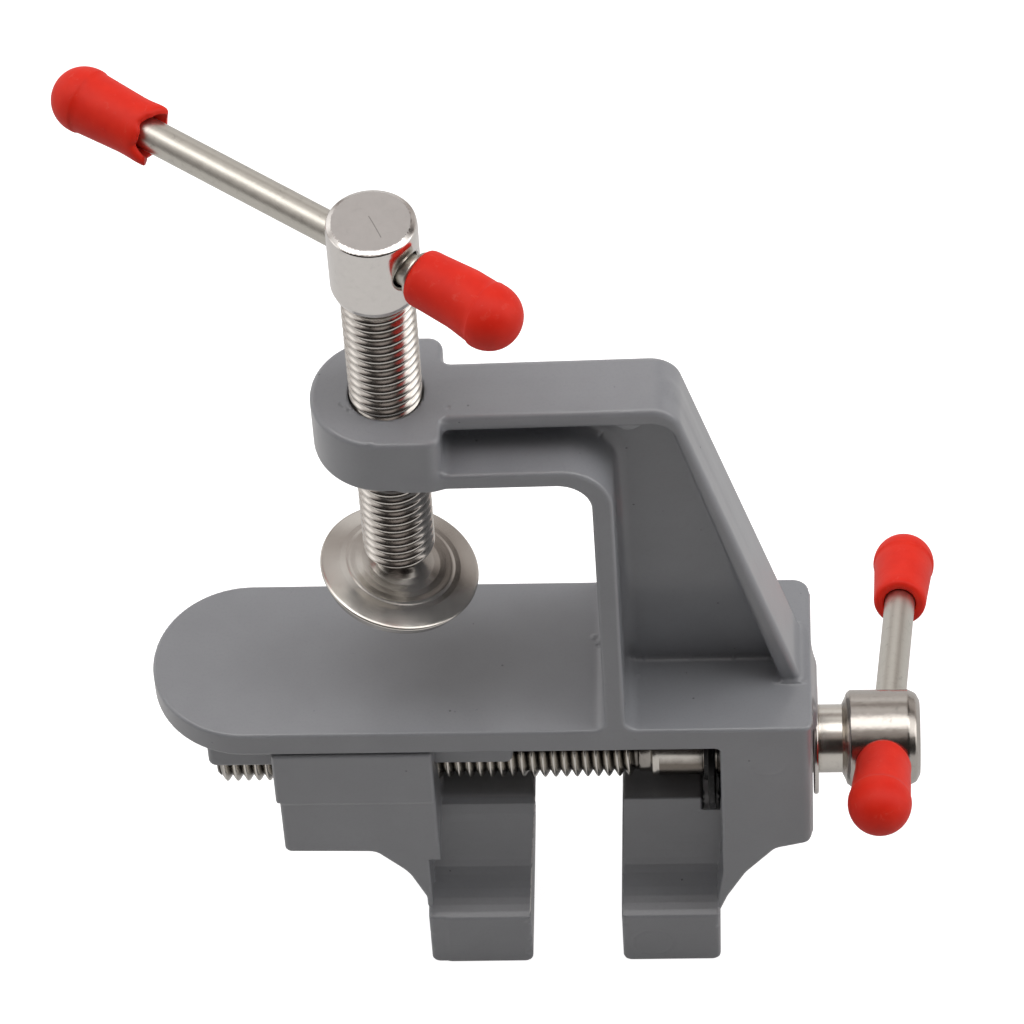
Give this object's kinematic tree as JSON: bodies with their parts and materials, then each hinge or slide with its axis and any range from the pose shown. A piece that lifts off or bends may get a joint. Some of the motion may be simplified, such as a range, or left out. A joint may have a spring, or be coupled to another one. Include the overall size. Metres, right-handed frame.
{
  "type": "mini bench vise",
  "caption": "Small clamp-on vise: cast frame with plate, C-arm and fixed jaw, sliding jaw on a screw, and a swivel-pad clamp screw, both with capped tommy bars.",
  "frame": {"origin": "where the clamp screw's axis meets the face of the clamp plate", "axes": "+Z out of the clamp plate's face towards the clamp screw's head, +X along the vise screw towards its head, +Y across the jaws"},
  "size_m": [0.1174, 0.0687, 0.1438],
  "materials": {
    "grey_enamel": "semi-gloss enamel on die-cast aluminium",
    "nickel_steel": "warm bright nickel plate",
    "black_steel": "black oxide",
    "red_vinyl": "dipped vinyl, satin"
  },
  "bodies": {
    "frame": {"frame": "grey_enamel", "vise_thrust_washer": "nickel_steel"},
    "moving_jaw": {"moving_jaw": "grey_enamel"},
    "vise_screw": {"vise_screw": "nickel_steel", "vise_retaining_ring": "black_steel"},
    "vise_bar": {"vise_bar": "nickel_steel", "vise_cap_near": "red_vinyl", "vise_cap_far": "red_vinyl"},
    "clamp_feed": {"pad_rivet": "nickel_steel"},
    "clamp_screw": {"clamp_screw": "nickel_steel"},
    "clamp_bar": {"clamp_bar": "nickel_steel", "clamp_cap_near": "red_vinyl", "clamp_cap_far": "red_vinyl"},
    "swivel_pad": {"swivel_pad": "nickel_steel"}
  },
  "joints": [
    {"name": "vise_screw_turn", "type": "hinge", "parent": "frame", "child": "vise_screw", "pos_m": [0.0662, 0, -0.01945], "axis": [-1, 0, 0], "range_deg": [-3841, 2905]},
    {"name": "jaw_slide", "type": "slide", "parent": "frame", "child": "moving_jaw", "axis": [1, 0, 0], "range_m": [-0.016, 0.0121]},
    {"name": "vise_bar_slide", "type": "slide", "parent": "vise_screw", "child": "vise_bar", "axis": [-0.078, -0.9411, 0.329], "range_m": [0, 0.0284]},
    {"name": "clamp_feed", "type": "slide", "parent": "frame", "child": "clamp_feed", "axis": [0, 0, -1], "range_m": [-0.024, 0.016]},
    {"name": "clamp_screw_turn", "type": "hinge", "parent": "clamp_feed", "child": "clamp_screw", "pos_m": [0, 0, 0.08405], "axis": [0, 0, -1], "range_deg": [-5761, 3841]},
    {"name": "clamp_bar_slide", "type": "slide", "parent": "clamp_screw", "child": "clamp_bar", "axis": [0.8193, -0.5732, -0.013], "range_m": [0, 0.0296]},
    {"name": "pad_tilt", "type": "hinge", "parent": "clamp_feed", "child": "swivel_pad", "pos_m": [0, 0, 0.02137], "axis": [0, 1, 0], "range_deg": [-22.6, 0]}
  ],
  "couplings": [
    {"joint": "vise_screw_turn", "follows": "jaw_slide", "rad_per_m": 4188.8},
    {"joint": "clamp_screw_turn", "follows": "clamp_feed", "rad_per_m": 4188.8}
  ]
}
